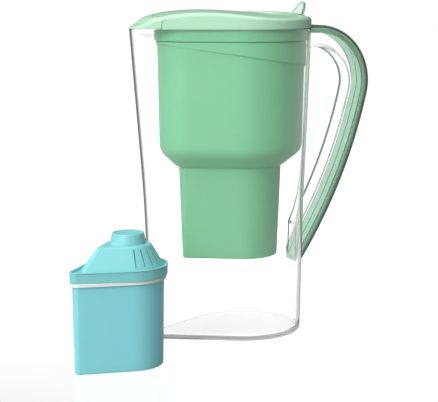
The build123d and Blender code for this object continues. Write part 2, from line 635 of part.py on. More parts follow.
def screen(height, by):
    """A perforated sheet across the cup at a height."""
    sheet = column(cup_section(height, by), height, height + SCREEN_THICK)
    radius, nose_at, nose_radius = cup_section(height, by + SCREEN_HOLE)
    hole = Box(SCREEN_HOLE, SCREEN_HOLE, 2 * (SCREEN_THICK + OVERCUT))
    holes = []
    for place in GridLocations(SCREEN_PITCH, SCREEN_PITCH, SCREEN_ROWS, SCREEN_ROWS):
        x, y = place.position.X, place.position.Y
        ahead = max(-x, 0.0) / -nose_at
        if y**2 + max(x, 0.0) ** 2 < (radius + (nose_radius - radius) * ahead) ** 2 and ahead < 1:
            holes.append(Pos(x, y, height) * hole)
    return sheet - holes


def cartridge_layers():
    """The screens, pads and beds inside the cartridge, from the floor up, by name."""
    layers = {"outlet_screen": screen(CUP_FLOOR, CUP_WALL + SLIP)}
    low = CUP_FLOOR + SCREEN_THICK
    pad = CUP_TALL - low - LOWER_PAD - MINERAL_BED - RESIN_BED - CARBON_BED - 2 * DIVIDER
    beds = {
        "lower_pad": LOWER_PAD,
        "mineral_bed": MINERAL_BED,
        "mineral_divider": DIVIDER,
        "resin_bed": RESIN_BED,
        "resin_divider": DIVIDER,
        "carbon_bed": CARBON_BED,
        "upper_pad": pad,
    }
    for name, thick in beds.items():
        layers[name] = stack(cup_levels(low, low + thick, CUP_WALL + SLIP))
        low += thick
    layers["inlet_screen"] = screen(CUP_TALL, 0)
    return layers


def main():
    """Builds every piece and writes one file for each."""
    envelope = lid_envelope()
    pieces = {
        "jug_body": jug_body(),
        "handle_cover": handle_cover(),
        "funnel": funnel(),
        "lid_shell": lid_shell(envelope),
        "spout_flap": spout_flap(envelope),
        "fill_flap": fill_flap(),
        "fill_flap_pin": fill_flap_pin(),
        "thumb_tab": thumb_tab(),
    }
    standing = Pos(CARTRIDGE_X, CARTRIDGE_Y, 0) * Rot(0, 0, CARTRIDGE_TURN)
    cartridge = {
        "cartridge_cup": cartridge_cup(),
        "cartridge_seal": cartridge_seal(),
        "cartridge_cap": cartridge_cap(),
        **cartridge_layers(),
    }
    pieces.update({name: standing * shape for name, shape in cartridge.items()})
    for name, shape in pieces.items():
        export_step(shape, f"parts/{name}.step")
        print(f"{name}: {len(shape.solids())} solid, {shape.volume / 1000:.1f} cm3")


main()
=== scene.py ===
# %% [markdown]
# # Water filter pitcher, dressed for a studio photograph
# The real object is a jug for a fridge door: a clear vessel with a looped handle, a mint funnel
# that hangs in it under a mint lid, and a teal filter cartridge that stands beside it. The packed
# solids give every size and every joint. They could be shown as they are, but their curved walls
# are made of flat strips and they have no finish. So this lesson makes each visible piece again as
# a smooth surface, worked out as whole arrays, and gives it a plastic of its own.
#
# Sizes are written in millimetres and turned into metres when a mesh is made. The origin is on
# the jug's base, at the centre of its round rear end. -X is the spout and +X is the handle.

# %% Load the frame
import json
from math import radians

import bmesh
import bpy
import numpy as np
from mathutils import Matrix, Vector


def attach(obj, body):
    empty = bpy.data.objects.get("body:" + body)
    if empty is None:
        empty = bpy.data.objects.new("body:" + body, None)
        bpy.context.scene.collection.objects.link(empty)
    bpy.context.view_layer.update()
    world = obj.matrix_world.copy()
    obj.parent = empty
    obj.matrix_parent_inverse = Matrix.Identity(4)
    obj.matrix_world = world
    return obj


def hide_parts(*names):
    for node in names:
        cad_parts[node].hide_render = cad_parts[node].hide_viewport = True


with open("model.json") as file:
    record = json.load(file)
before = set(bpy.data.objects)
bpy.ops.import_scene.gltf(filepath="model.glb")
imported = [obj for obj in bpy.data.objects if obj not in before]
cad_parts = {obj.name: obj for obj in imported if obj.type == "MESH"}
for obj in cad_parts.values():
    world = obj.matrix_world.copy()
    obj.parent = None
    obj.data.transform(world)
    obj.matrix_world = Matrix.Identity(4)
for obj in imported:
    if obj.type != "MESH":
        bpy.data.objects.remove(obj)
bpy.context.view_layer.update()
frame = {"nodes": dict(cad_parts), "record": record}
print("solids:", len(frame["nodes"]))

# %% [markdown]
# ## Teardrop outlines
# Seen from above, the jug, the funnel and the cartridge are all teardrops: a round rear end, a
# small round nose and two straight sides. Such an outline could be drawn point by point, but then
# each height would need a drawing of its own. Here three numbers give it: the rear radius R, the
# nose's centre n and the nose's radius r. The rear circle is centred on the piece's axis. The
# sides touch both circles, so they leave the rear one at the angle pi - lean, where
# cos(lean) = (r - R) / n.

# %% One outline from three numbers
SIDE_SLOPE = 0.491


def teardrop(radius, nose_at, slope=SIDE_SLOPE):
    """R, n and r = R + slope * n, so that the straight sides keep one slope."""
    return np.array([radius, nose_at, radius + slope * nose_at])


def inset(section, by):
    """The same teardrop with its wall moved inward: R - by, n, r - by."""
    return np.asarray(section, float) - np.array([by, 0, by])


def mix(first, second, share):
    """A section part of the way from one to another."""
    return first + (second - first) * share


# %% Rings of points
REAR = np.linspace(-1, 1, 121)
NOSE = np.linspace(-1, 1, 49)
SIDE = np.linspace(0, 1, 12)[None, 1:-1, None]


def rings(sections, rear=REAR, nose=NOSE):
    """(levels, points, 2) outlines. Rear points: R (cos a, sin a) for a = u (pi - lean), u from -1
    to 1. Nose points: (n, 0) + r (cos b, sin b) for b = pi + u lean. Sides: straight between."""
    big, at, small = np.asarray(sections, float).T[:, :, None]
    lean = np.arccos((small - big) / at)
    a, b = rear * (np.pi - lean), np.pi + nose * lean
    back = np.stack([big * np.cos(a), big * np.sin(a)], -1)
    front = np.stack([at + small * np.cos(b), small * np.sin(b)], -1)
    far = back[:, -1:] * (1 - SIDE) + front[:, :1] * SIDE
    near = front[:, -1:] * (1 - SIDE) + back[:, :1] * SIDE
    return np.concatenate([back, far, front, near], 1)


print("points in a ring:", rings([teardrop(49.0, -71.0)]).shape[1])

# %% [markdown]
# ## Soft corners
# No moulded edge is sharp: each has a small rounding, which catches a line of light. A Bevel
# modifier could add it, but it gives every edge of a wall one width. Here a wall is a list of
# corners, each with the reach of its own rounding, and a quadratic curve takes the corner's place.

# %% Profiles
STRAIGHT_SHARE = 0.06
LONGEST_SHARE = 0.45


def row(height, section, rounding=0.0, tilt=0.0):
    """One corner of a wall's profile: height, section, tilt, and how far its rounding reaches."""
    return [height, *section, tilt, rounding]


def soften(rows, steps=5):
    """Rounds each corner B of a profile: (1-t)^2 A + 2t(1-t) B + t^2 C, where A and C lie a
    rounding's reach before and after B. One more row on each side keeps the shading flat."""
    rows = np.array(rows, float)
    points, reaches = rows[:, :-1], rows[:, -1]
    t = np.linspace(0, 1, steps + 1)[:, None]
    out = [points[:1]]
    for before, corner, after, reach in zip(points[:-2], points[1:-1], points[2:], reaches[1:-1]):
        if reach == 0:
            out.append(corner[None])
            continue
        back, on = before - corner, after - corner
        back_long, on_long = np.hypot(*back[:2]), np.hypot(*on[:2])
        a = corner + back * min(reach / back_long, LONGEST_SHARE)
        c = corner + on * min(reach / on_long, LONGEST_SHARE)
        curve = (1 - t) ** 2 * a + 2 * t * (1 - t) * corner + t**2 * c
        a_far = a + (before - a) * STRAIGHT_SHARE
        c_far = c + (after - c) * STRAIGHT_SHARE
        out += [a_far[None], curve, c_far[None]]
    return np.concatenate([*out, points[-1:]])


def grid_of(levels, slant=(0.0, 0.0), rear=REAR, nose=NOSE):
    """(levels, points, 3): each level's ring at z = height - tilt * slope * (x - x0)."""
    plan = rings(levels[:, 1:4], rear, nose)
    slope, x0 = slant
    z = levels[:, :1] - levels[:, 4:5] * slope * (plan[:, :, 0] - x0)
    return np.concatenate([plan, z[:, :, None]], -1)


SQUARE = [row(h, teardrop(20.0, -30.0), r) for h, r in ((0, 0), (5, 1), (9, 0))]
print("rows that one rounded corner becomes:", len(soften(SQUARE)) - 2)

# %% [markdown]
# ## Skins
# Each moulding is one closed skin: up the outside, over the rim and down the inside. It could be
# a single sheet with a Solidify modifier, but its inner and outer walls differ, as at the funnel's
# flange. So the whole closed profile is written down, and its rings make the grid of one mesh.

# %% A grid becomes a mesh
MM = 0.001
SHARP_FROM = radians(35)


def add_piece(name, mesh):
    """An object for a mesh, at the origin of the scene."""
    piece = bpy.data.objects.new(name, mesh)
    bpy.context.scene.collection.objects.link(piece)
    return piece


def skin(name, grid, loop=False, outward=False):
    """A closed mesh on a (rows, points, 3) grid in millimetres. Points close round each row. The
    rows close too if loop is set, and otherwise the first and last rows get flat ends."""
    rows, points, _ = grid.shape
    index = np.arange(rows * points).reshape(rows, points)
    low, high = (index, np.roll(index, -1, 0)) if loop else (index[:-1], index[1:])
    quads = np.stack([low, np.roll(low, -1, 1), np.roll(high, -1, 1), high], -1).reshape(-1, 4)
    ends = [] if loop else [index[0, ::-1].tolist(), index[-1].tolist()]
    mesh = bpy.data.meshes.new(name)
    mesh.from_pydata((grid.reshape(-1, 3) * MM).tolist(), [], quads.tolist() + ends)
    if outward:
        work = bmesh.new()
        work.from_mesh(mesh)
        bmesh.ops.recalc_face_normals(work, faces=work.faces)
        work.to_mesh(mesh)
        work.free()
    mesh.shade_smooth()
    mesh.set_sharp_from_angle(angle=SHARP_FROM)
    print(f"{name}: {rows} rows of {points}, {len(mesh.polygons)} faces")
    return add_piece(name, mesh)


def dress(piece, body, slot, material, *nodes):
    """Hangs a piece on its body, gives it its material, and hides the solids that it replaces.
    Its slot is not used."""
    piece.data.materials.clear()
    piece.data.materials.append(material)
    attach(piece, body)
    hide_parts(*nodes)
    return piece


# %% [markdown]
# ## Moulded plastic
# Every part here is injection moulded. Its colour is never quite even, its polish varies a little,
# and its skin has the fine texture of the mould. Each material could have its own nodes for that.
# One node group does it for all of them, with named inputs, so that a change is made once. The
# group puts out only a colour, a roughness and a normal, and the shader stays in each material,
# because an export can't read a shader inside a group.

# %% Small helpers for nodes
def new_nodes(tree, *kinds):
    """Shader nodes by the last part of their type names, such as TexNoise."""
    return [tree.nodes.new("ShaderNode" + kind) for kind in kinds]


def set_inputs(node, **values):
    """Sets a node's inputs by name, with _ for each space."""
    for label, value in values.items():
        node.inputs[label.replace("_", " ")].default_value = value


def maths(tree, operation, *terms):
    """One Math node. Each term is a number or another node's output."""
    node = tree.nodes.new("ShaderNodeMath")
    node.operation = operation
    for socket, term in zip(node.inputs, terms):
        if isinstance(term, float):
            socket.default_value = term
        else:
            tree.links.new(term, socket)
    return node.outputs[0]


def new_group(name, inputs, outputs):
    """An empty shader group with named sockets: inputs as (name, kind, default)."""
    group = bpy.data.node_groups.new(name, "ShaderNodeTree")
    for label, kind, default in inputs:
        socket = group.interface.new_socket(label, in_out="INPUT", socket_type=kind)
        socket.default_value = default
    for label, kind in outputs:
        group.interface.new_socket(label, in_out="OUTPUT", socket_type=kind)
    return group, group.nodes.new("NodeGroupInput"), group.nodes.new("NodeGroupOutput")


# %% The moulding group
COLOR, FLOAT, VECTOR = "NodeSocketColor", "NodeSocketFloat", "NodeSocketVector"
MOTTLE_SCALE = 22.0
BUMP_DEPTH = 0.1 * MM


def moulding_group():
    """Colour = colour mixed with shade by mottle * noise, roughness = polish + wear * noise, and a
    normal from a fine noise bump."""
    group, given, made = new_group(
        "moulding",
        [
            ("Color", COLOR, (0.5, 0.5, 0.5, 1)), ("Shade", COLOR, (0.4, 0.4, 0.4, 1)),
            ("Mottle", FLOAT, 0.5), ("Polish", FLOAT, 0.3), ("Wear", FLOAT, 0.1),
            ("Grain", FLOAT, 900.0), ("Relief", FLOAT, 0.1),
        ],
        [("Color", COLOR), ("Roughness", FLOAT), ("Normal", VECTOR)],
    )
    link, given = group.links.new, given.outputs
    place, slow, fine, tint, bump = new_nodes(
        group, "TexCoord", "TexNoise", "TexNoise", "Mix", "Bump"
    )
    set_inputs(slow, Scale=MOTTLE_SCALE, Detail=3.0)
    set_inputs(fine, Detail=2.0)
    link(place.outputs["Object"], slow.inputs["Vector"])
    link(place.outputs["Object"], fine.inputs["Vector"])
    link(given["Grain"], fine.inputs["Scale"])
    tint.data_type = "RGBA"
    amount = maths(group, "MULTIPLY", slow.outputs["Fac"], given["Mottle"])
    link(amount, tint.inputs["Factor"])
    link(given["Color"], tint.inputs["A"])
    link(given["Shade"], tint.inputs["B"])
    rough = maths(group, "MULTIPLY_ADD", slow.outputs["Fac"], given["Wear"], given["Polish"])
    set_inputs(bump, Distance=BUMP_DEPTH)
    link(given["Relief"], bump.inputs["Strength"])
    link(fine.outputs["Fac"], bump.inputs["Height"])
    link(tint.outputs["Result"], made.inputs["Color"])
    link(rough, made.inputs["Roughness"])
    link(bump.outputs["Normal"], made.inputs["Normal"])
    return group


MOULDING = moulding_group()
print("moulding group:", len(MOULDING.nodes), "nodes")


# %% A plastic by its colours and polish
def plastic(name, color, shade, polish, mottle=0.5, wear=0.08, grain=900.0, relief=0.1, **values):
    """A material: the moulding group into one Principled shader, with its other sockets by name."""
    material = bpy.data.materials.new(name)
    material.use_nodes = True
    material.diffuse_color = (*color, 1)
    tree = material.node_tree
    shader = tree.nodes["Principled BSDF"]
    group = tree.nodes.new("ShaderNodeGroup")
    group.node_tree = MOULDING
    set_inputs(group, Color=(*color, 1), Shade=(*shade, 1), Mottle=mottle, Polish=polish)
    set_inputs(group, Wear=wear, Grain=grain, Relief=relief)
    tree.links.new(group.outputs["Color"], shader.inputs["Base Color"])
    tree.links.new(group.outputs["Roughness"], shader.inputs["Roughness"])
    tree.links.new(group.outputs["Normal"], shader.inputs["Normal"])
    set_inputs(shader, **values)
    print("material:", name)
    return material


# %% [markdown]
# ## Clear plastic
# The vessel is as clear as glass. Only where one looks along its wall does it show as a dark line.
# Dark panels beside the object could give that line by refraction, as photographers do, but they
# would show in the other pieces too. Here the line is painted shade: the surface's colour is mixed
# towards near black as it turns away from the eye, and only on its outer side, so that the line
# stays thin. The underside is a little frosted, as a moulded foot is. A clear one would mirror the
# dark inside of the slab as a black rim.

# %% Values that change over a surface
def dot(tree, vector, direction):
    """How far a vector points along a direction, given as three numbers or as an output."""
    node = tree.nodes.new("ShaderNodeVectorMath")
    node.operation = "DOT_PRODUCT"
    tree.links.new(vector, node.inputs[0])
    if isinstance(direction, tuple):
        node.inputs[1].default_value = direction
    else:
        tree.links.new(direction, node.inputs[1])
    return node.outputs["Value"]


def ramp(tree, value, low, high, start, end, smooth=False):
    """A value that goes from start to end while another goes from low to high."""
    node = tree.nodes.new("ShaderNodeMapRange")
    if smooth:
        node.interpolation_type = "SMOOTHSTEP"
    set_inputs(node, From_Min=low, From_Max=high, To_Min=start, To_Max=end)
    tree.links.new(value, node.inputs["Value"])
    return node.outputs["Result"]


def ramp_on_axis(tree, axis, low, high, start, end):
    """A ramp on the object's x, y or z, in metres."""
    place, split = new_nodes(tree, "TexCoord", "SeparateXYZ")
    tree.links.new(place.outputs["Object"], split.inputs["Vector"])
    return ramp(tree, split.outputs[axis], low, high, start, end)


# %% Painted shade where a wall turns away
def outer_side(tree):
    """1 where the surface faces away from the jug's axis, as its outer side does: where the
    normal and (x, y, 0) point the same way."""
    place, flat = new_nodes(tree, "TexCoord", "VectorMath")
    flat.operation = "MULTIPLY"
    flat.inputs[1].default_value = (1, 1, 0)
    tree.links.new(place.outputs["Object"], flat.inputs[0])
    along = dot(tree, place.outputs["Normal"], flat.outputs["Vector"])
    return maths(tree, "GREATER_THAN", along, 0.0)


def paint_edge_shade(material, color, start, end, most):
    """Painted shade: mixes the base colour towards a dark one as the surface turns away from the
    eye:
    the share goes smoothly from 0 to most, while Layer Weight's Facing goes from start to end.
    All three are outputs of other nodes."""
    tree = material.node_tree
    link, base = tree.links.new, tree.nodes["Principled BSDF"].inputs["Base Color"]
    facing, share, painted_mix = new_nodes(tree, "LayerWeight", "MapRange", "Mix")
    share.interpolation_type = "SMOOTHSTEP"
    painted_mix.data_type = "RGBA"
    set_inputs(painted_mix, B=(*color, 1))
    for source, label in ((start, "From Min"), (end, "From Max"), (most, "To Max")):
        link(source, share.inputs[label])
    link(facing.outputs["Facing"], share.inputs["Value"])
    link(share.outputs["Result"], painted_mix.inputs["Factor"])
    link(base.links[0].from_socket, painted_mix.inputs["A"])
    link(painted_mix.outputs["Result"], base)


# %% The clear material
CLEAR = plastic(
    "clear_plastic", (1.0, 1.0, 1.0), (0.97, 1.0, 0.985), 0.0, wear=0.01, relief=0.0,
    Transmission_Weight=1.0, IOR=1.49,
)
clear_tree = CLEAR.node_tree
PAINTED_LINE_SPOUT = (-90 * MM, -50 * MM)
# Painted shade: the clear plastic's colour goes near black where its outer wall turns away.
PAINTED_EDGE_SHADE = (0.03, 0.04, 0.035)
painted_line_start = ramp_on_axis(clear_tree, "X", *PAINTED_LINE_SPOUT, 0.40, 0.78)
painted_line_end = ramp_on_axis(clear_tree, "X", *PAINTED_LINE_SPOUT, 0.62, 0.95)
paint_edge_shade(CLEAR, PAINTED_EDGE_SHADE, painted_line_start, painted_line_end, outer_side(clear_tree))

UNDERSIDE = (0.1 * MM, 0.3 * MM)
frosting = ramp_on_axis(clear_tree, "Z", *UNDERSIDE, 0.45, 0.0)
clear_tree.links.new(frosting, clear_tree.nodes["Principled BSDF"].inputs["Roughness"])
print("clear plastic:", len(clear_tree.nodes), "nodes")

# %% [markdown]
# ## The clear vessel
# The jug tapers towards its foot, so that it leaves the mould, and above a soft knee at a height
# of 105 it flares, most of all at the nose, which makes the spout. It could be modelled by
# pulling the top ring of a plain loft, but its sides would bend along their whole height. Here
# the rear radius and the nose are formulas of the height. The inside is the same shape moved in
# by the wall. The vessel casts no shadow, because clear plastic lets nearly all light through and
# the funnel in it would otherwise be lit through glass only, which is slow and grainy.

# %% The jug's section at any height
JUG_HEIGHT, JUG_WALL, JUG_FLOOR = 255.5, 2.5, 3.0
REAR_FOOT, NOSE_FOOT = 49.0, -71.0
DRAFT, REAR_FLARE, NOSE_FLARE = 0.019, 0.0175, 0.0914
KNEE, KNEE_SOFT = 105.0, 40.0


def past_knee(height):
    """The height gained past the knee. It is 0 up to 40 below it, the parabola (z - 105 + 40)^2
    / 160 from there to 40 above it, and z - 105 beyond."""
    rise = np.clip(height - KNEE + KNEE_SOFT, 0, 2 * KNEE_SOFT)
    return rise**2 / (4 * KNEE_SOFT) + np.maximum(height - KNEE - KNEE_SOFT, 0)


def jug_radius(height):
    """R = 49 + 0.019 z + 0.0175 f, with f the height gained past the knee."""
    return REAR_FOOT + DRAFT * height + REAR_FLARE * past_knee(height)


def jug_section(height, by=0.0):
    """The teardrop at a height, moved in by a wall: its nose stands at n = -71 - 0.0914 f."""
    nose_at = NOSE_FOOT - NOSE_FLARE * past_knee(height)
    return inset(teardrop(jug_radius(height), nose_at), by)


print("mouth section:", jug_section(JUG_HEIGHT).round(2).tolist())

# %% The vessel
FOOT_ROUNDING, RIM_ROUNDING, FLOOR_ROUNDING = 2.5, 0.8, 3.0
FOOT_END, FLOOR_END = 6.0, 9.0
WALL_HEIGHTS = [*np.linspace(KNEE - KNEE_SOFT, KNEE + KNEE_SOFT, 13), 180.0, 215.0]


def wall_rows(heights, by):
    """Rows of the jug's wall at a list of heights."""
    return [row(h, jug_section(h, by)) for h in heights]


vessel_rows = [
    row(0, jug_section(0, FOOT_END)),
    row(0, jug_section(0), FOOT_ROUNDING),
    *wall_rows(WALL_HEIGHTS, 0.0),
    row(JUG_HEIGHT, jug_section(JUG_HEIGHT), RIM_ROUNDING),
    row(JUG_HEIGHT, jug_section(JUG_HEIGHT, JUG_WALL), RIM_ROUNDING),
    *wall_rows(WALL_HEIGHTS[::-1], JUG_WALL),
    row(JUG_FLOOR, jug_section(JUG_FLOOR, JUG_WALL), FLOOR_ROUNDING),
    row(JUG_FLOOR, jug_section(JUG_FLOOR, FLOOR_END)),
]
vessel = skin("clear_vessel", grid_of(soften(vessel_rows)))
dress(vessel, "jug", "clear_plastic", CLEAR, "jug_body")
vessel.visible_shadow = False

# %% [markdown]
# ## The handle
# The handle is a clear channel, moulded with the jug, and a green grip that clips over it. Its side
# line is a level run, a bend of radius 48 that turns 103 degrees, and a fall of radius 420. A curve
# object with a bevel profile could follow that line, but its ends would be cut square, while the
# real ones grow out of the round wall. Here each point of the cross-section runs along its own
# line and ends exactly at the wall. At a turning angle p the outward direction is
# (sin p, cos p), so a point at depth d lies d behind the outer line.

# %% The handle's line and the wall it meets
HANDLE_TOP, BEND_AT, BEND_RADIUS, FALL_RADIUS = 257.0, 65.99, 48.0, 420.0
BEND_TURN, FALL_SEARCH = radians(103.0), radians(26.0)
BEND_CENTRE = HANDLE_TOP - BEND_RADIUS
HALVINGS = 30


def wall_x(y, z, gap):
    """How far out the jug's rear wall is: sqrt((R(z) + gap)^2 - y^2)."""
    radius = jug_radius(np.minimum(z, JUG_HEIGHT)) + gap
    return np.sqrt(radius**2 - y**2)


def on_fall(turn, depth):
    """x and z on the long fall: its centre + (420 - d) (sin p, cos p). The centre lies behind the
    bend's, on the line in which the bend ends, so that the two arcs share a tangent."""
    step, reach = FALL_RADIUS - BEND_RADIUS, FALL_RADIUS - depth
    x = BEND_AT - step * np.sin(BEND_TURN) + reach * np.sin(turn)
    z = BEND_CENTRE - step * np.cos(BEND_TURN) + reach * np.cos(turn)
    return x, z


def fall_end(depth, y, gap):
    """The turning angle at which each line meets the wall, found by halving."""
    low = np.full(depth.shape, BEND_TURN)
    high = low + FALL_SEARCH
    for _ in range(HALVINGS):
        middle = (low + high) / 2
        x, z = on_fall(middle, depth)
        outside = x > wall_x(y, z, gap)
        low, high = np.where(outside, middle, low), np.where(outside, high, middle)
    return low


fall_foot = on_fall(fall_end(np.zeros(1), np.zeros(1), 0.0), 0.0)
print("the grip meets the wall at x, z:", [round(float(v[0]), 2) for v in fall_foot])

# %% A cross-section carried down the handle
LEVEL_STEPS = np.linspace(0, 1, 9)[:-1, None]
BEND_STEPS = np.linspace(0, 1, 49)[:-1, None]
FALL_STEPS = np.linspace(0, 1, 49)[:, None]


def stack_points(x, y, z):
    """(rows, points, 3) from coordinates that may each lack an axis."""
    return np.stack(np.broadcast_arrays(x, y, z), -1)


def handle_sweep(loop, gap):
    """(rows, points, 3): a closed cross-section loop of (depth, y) carried down the handle. Level
    run: straight from the wall to the bend. Bend: its centre + (48 - d) (sin p, cos p). Fall: the
    same on its larger circle, down to the wall again."""
    depth, y = loop.T
    start = wall_x(y, HANDLE_TOP - depth, gap)
    level = stack_points(start + (BEND_AT - start) * LEVEL_STEPS, y, HANDLE_TOP - depth)
    turn, reach = BEND_TURN * BEND_STEPS, BEND_RADIUS - depth
    bend = stack_points(BEND_AT + reach * np.sin(turn), y, BEND_CENTRE + reach * np.cos(turn))
    end = fall_end(depth, y, gap)
    x, z = on_fall(BEND_TURN + (end - BEND_TURN) * FALL_STEPS, depth)
    return np.concatenate([level, bend, stack_points(x, y, z)])


# %% The handle's cross-sections
def round_loop(corners, steps=5):
    """A closed loop of (a, b, rounding) corners. Each corner B becomes the quadratic curve
    (1-t)^2 A + 2t(1-t) B + t^2 C, where A and C lie its rounding before and after it."""
    corners = np.array(corners, float)
    t = np.linspace(0, 1, steps + 1)[:, None]
    out = []
    for i, (a, b, reach) in enumerate(corners):
        here = np.array([a, b])
        before, after = corners[i - 1, :2] - here, corners[(i + 1) % len(corners), :2] - here
        first = here + before / np.hypot(*before) * reach
        last = here + after / np.hypot(*after) * reach
        out.append((1 - t) ** 2 * first + 2 * t * (1 - t) * here + t**2 * last)
    return np.concatenate(out)


def channel(back, tip, half, wall, back_soft, tip_soft, inner_soft=0.8):
    """A channel's cross-section as (depth, y): its back stands at one depth and the tips of its
    two legs at another. half is half its width, and the soft values are its roundings."""
    floor, side = back + np.sign(tip - back) * wall, half - wall
    return round_loop([
        (back, -half, back_soft), (back, half, back_soft),
        (tip, half, tip_soft), (tip, side, tip_soft),
        (floor, side, inner_soft), (floor, -side, inner_soft),
        (tip, -side, tip_soft), (tip, -half, tip_soft),
    ])


grip_loop = channel(back=0, tip=6.6, half=11.5, wall=2.2, back_soft=2.2, tip_soft=0.5)
core_loop = channel(back=18.5, tip=2.5, half=9.2, wall=2.3, back_soft=1.0, tip_soft=0.6)
print("points round the grip:", len(grip_loop), "and round the clear handle:", len(core_loop))

# %% [markdown]
# ## The grip's green plastic
# The grip and the thumb tab are see-through green. A pale green glass would do for a thin sheet,
# but these edges and thick places are deeper in colour than their faces. So the plastic is glassy,
# and light also fades inside it: that volume gives each place the depth of colour that its own
# thickness asks for. The tab is smaller and paler, so it has a thinner tint.

# %% Tinted plastics
def absorb(material, color, density):
    """Lets light fade inside the plastic: a share exp(-density (1 - color) d) is left after d."""
    tree = material.node_tree
    inside = tree.nodes.new("ShaderNodeVolumeAbsorption")
    set_inputs(inside, Color=(*color, 1), Density=density)
    tree.links.new(inside.outputs[0], tree.nodes["Material Output"].inputs["Volume"])


CLEAR_GREEN = plastic(
    "clear_green", (0.70, 0.87, 0.76), (0.64, 0.84, 0.71), 0.12, wear=0.06, relief=0.05,
    Transmission_Weight=0.85, IOR=1.46,
)
absorb(CLEAR_GREEN, (0.12, 0.48, 0.26), 260.0)
CLEAR_TAB = plastic(
    "clear_green_tab", (0.80, 0.93, 0.85), (0.76, 0.91, 0.82), 0.12, wear=0.06, relief=0.05,
    Transmission_Weight=0.75, IOR=1.46,
)
absorb(CLEAR_TAB, (0.30, 0.60, 0.42), 70.0)

# %% The grip and the clear handle
GRIP_GAP, CORE_SINK = 0.3, 0.2
grip = skin("grip", handle_sweep(grip_loop, GRIP_GAP), outward=True)
dress(grip, "jug", "clear_green", CLEAR_GREEN, "handle_cover")
core = skin("clear_handle", handle_sweep(core_loop, -CORE_SINK), outward=True)
dress(core, "jug", "clear_plastic", CLEAR, "jug_body")
core.visible_shadow = False

# %% [markdown]
# ## The funnel
# The funnel is the reservoir: a wide bowl over a narrow well, which holds the cartridge. Round its
# top runs a skirt whose lower edge drops towards the handle. It could be two lofts joined by a
# Boolean, but a Boolean leaves ragged faces at the shoulder. Here one closed profile runs from the
# well's floor up the well, over the shoulder, up the bowl to the skirt and the flange, and back
# down the inside. Rows with a tilt of 1 follow the skirt's slant.

# %% The funnel's sections
MINT = plastic(
    "mint_body", (0.197, 0.55, 0.30), (0.182, 0.525, 0.284), 0.30, relief=0.12,
    Subsurface_Weight=0.15, Subsurface_Scale=2 * MM,
)
WELL_TOP, BOWL_TOP = teardrop(32.0, -50.0), teardrop(51.03, -46.5)
WELL_FOOT, BOWL_FOOT = inset(WELL_TOP, 3.0), inset(BOWL_TOP, 1.7)
SHOULDER = mix(WELL_TOP, BOWL_FOOT, 0.125)
WELL_FLOOR, WELL_LIP, BOWL_LOW, SKIRT_LOW, FLANGE_FOOT = 65.0, 142.0, 154.8, 243.1, 245.7
SKIRT_SLANT = (20.4 / 129.3, -77.2)
FLANGE_GAP, FLANGE_NOSE, FLANGE_SLOPE = 0.3, -48.3, 0.5133


def flange(height, by=0.0):
    """The rim follows the jug's inside with a small gap, as a teardrop of its own slope."""
    radius = jug_radius(height) - JUG_WALL - FLANGE_GAP
    return inset(teardrop(radius, FLANGE_NOSE, FLANGE_SLOPE), by)


SKIRT = flange(FLANGE_FOOT, 1.2)
print("flange section:", flange(JUG_HEIGHT).round(2).tolist())

# %% The funnel's skin
THIN, THICK = 2.0, 2.2
GROOVE = 0.8
outside = [
    row(WELL_FLOOR, inset(WELL_FOOT, 3.0)),
    row(WELL_FLOOR, WELL_FOOT, 1.5),
    row(WELL_LIP, WELL_TOP, 0.8),
    row(WELL_LIP + 0.2, SHOULDER, 2.2),
    row(BOWL_LOW, BOWL_FOOT, 6.0),
    row(190, mix(BOWL_FOOT, BOWL_TOP, 0.37)),
    row(SKIRT_LOW, inset(BOWL_TOP, 0.2), 0.5, tilt=1),
    row(SKIRT_LOW, SKIRT, 0.4, tilt=1),
    row(FLANGE_FOOT - 0.8, SKIRT, 0.1),
    row(FLANGE_FOOT - 0.7, inset(SKIRT, GROOVE), 0.1),
    row(FLANGE_FOOT, inset(SKIRT, GROOVE), 0.1),
    row(FLANGE_FOOT, flange(FLANGE_FOOT), 0.4),
    row(JUG_HEIGHT, flange(JUG_HEIGHT), 0.6),
]
inside = [
    row(JUG_HEIGHT, flange(JUG_HEIGHT, THICK), 0.6),
    row(FLANGE_FOOT + THICK, flange(FLANGE_FOOT, THICK), 1.0),
    row(246, inset(BOWL_TOP, THIN), 1.0),
    row(156, inset(BOWL_FOOT, THIN), 6.0),
    row(WELL_LIP + THICK, inset(SHOULDER, THICK), 2.2),
    row(WELL_LIP + THIN, inset(WELL_TOP, THICK), 0.8),
    row(WELL_FLOOR + THIN, inset(WELL_FOOT, THICK), 1.5),
    row(WELL_FLOOR + THIN, inset(WELL_FOOT, 3.5)),
]
funnel = skin("funnel_shell", grid_of(soften(outside + inside), SKIRT_SLANT))
dress(funnel, "funnel", "mint_body", MINT, "funnel")

# %% [markdown]
# ## The cartridge's cup and seal
# The cartridge is a tapered cup, closed by a cap over a white seal, whose edge shows as a thin
# line. The three could be one revolved shape, but each is a moulding of its own with its own
# finish. So each is a closed profile, in the cartridge's own frame with the nose to -X. That
# frame is then turned by 18.3 degrees and stood beside the jug.

# %% The cup
TEAL = plastic(
    "teal_cup", (0.258, 0.705, 0.755), (0.242, 0.68, 0.73), 0.34, relief=0.15,
    Subsurface_Weight=0.12, Subsurface_Scale=2 * MM,
)
CARTRIDGE_AT, CARTRIDGE_TURN = np.array([-125.7, -63.6, 0]), radians(18.3)
CUP_FOOT, CUP_TOP = np.array([26.4, -47.3, 3.6]), np.array([27.6, -47.3, 4.8])
CUP_WALL, SEAL_LOW, CAP_LOW, CUP_TALL = 1.6, 67.7, 70.5, 72.6


def stand(grid):
    """Turns a cartridge grid about its axis and moves it to its place."""
    c, s = np.cos(CARTRIDGE_TURN), np.sin(CARTRIDGE_TURN)
    return grid @ np.array([[c, s, 0], [-s, c, 0], [0, 0, 1]]) + CARTRIDGE_AT


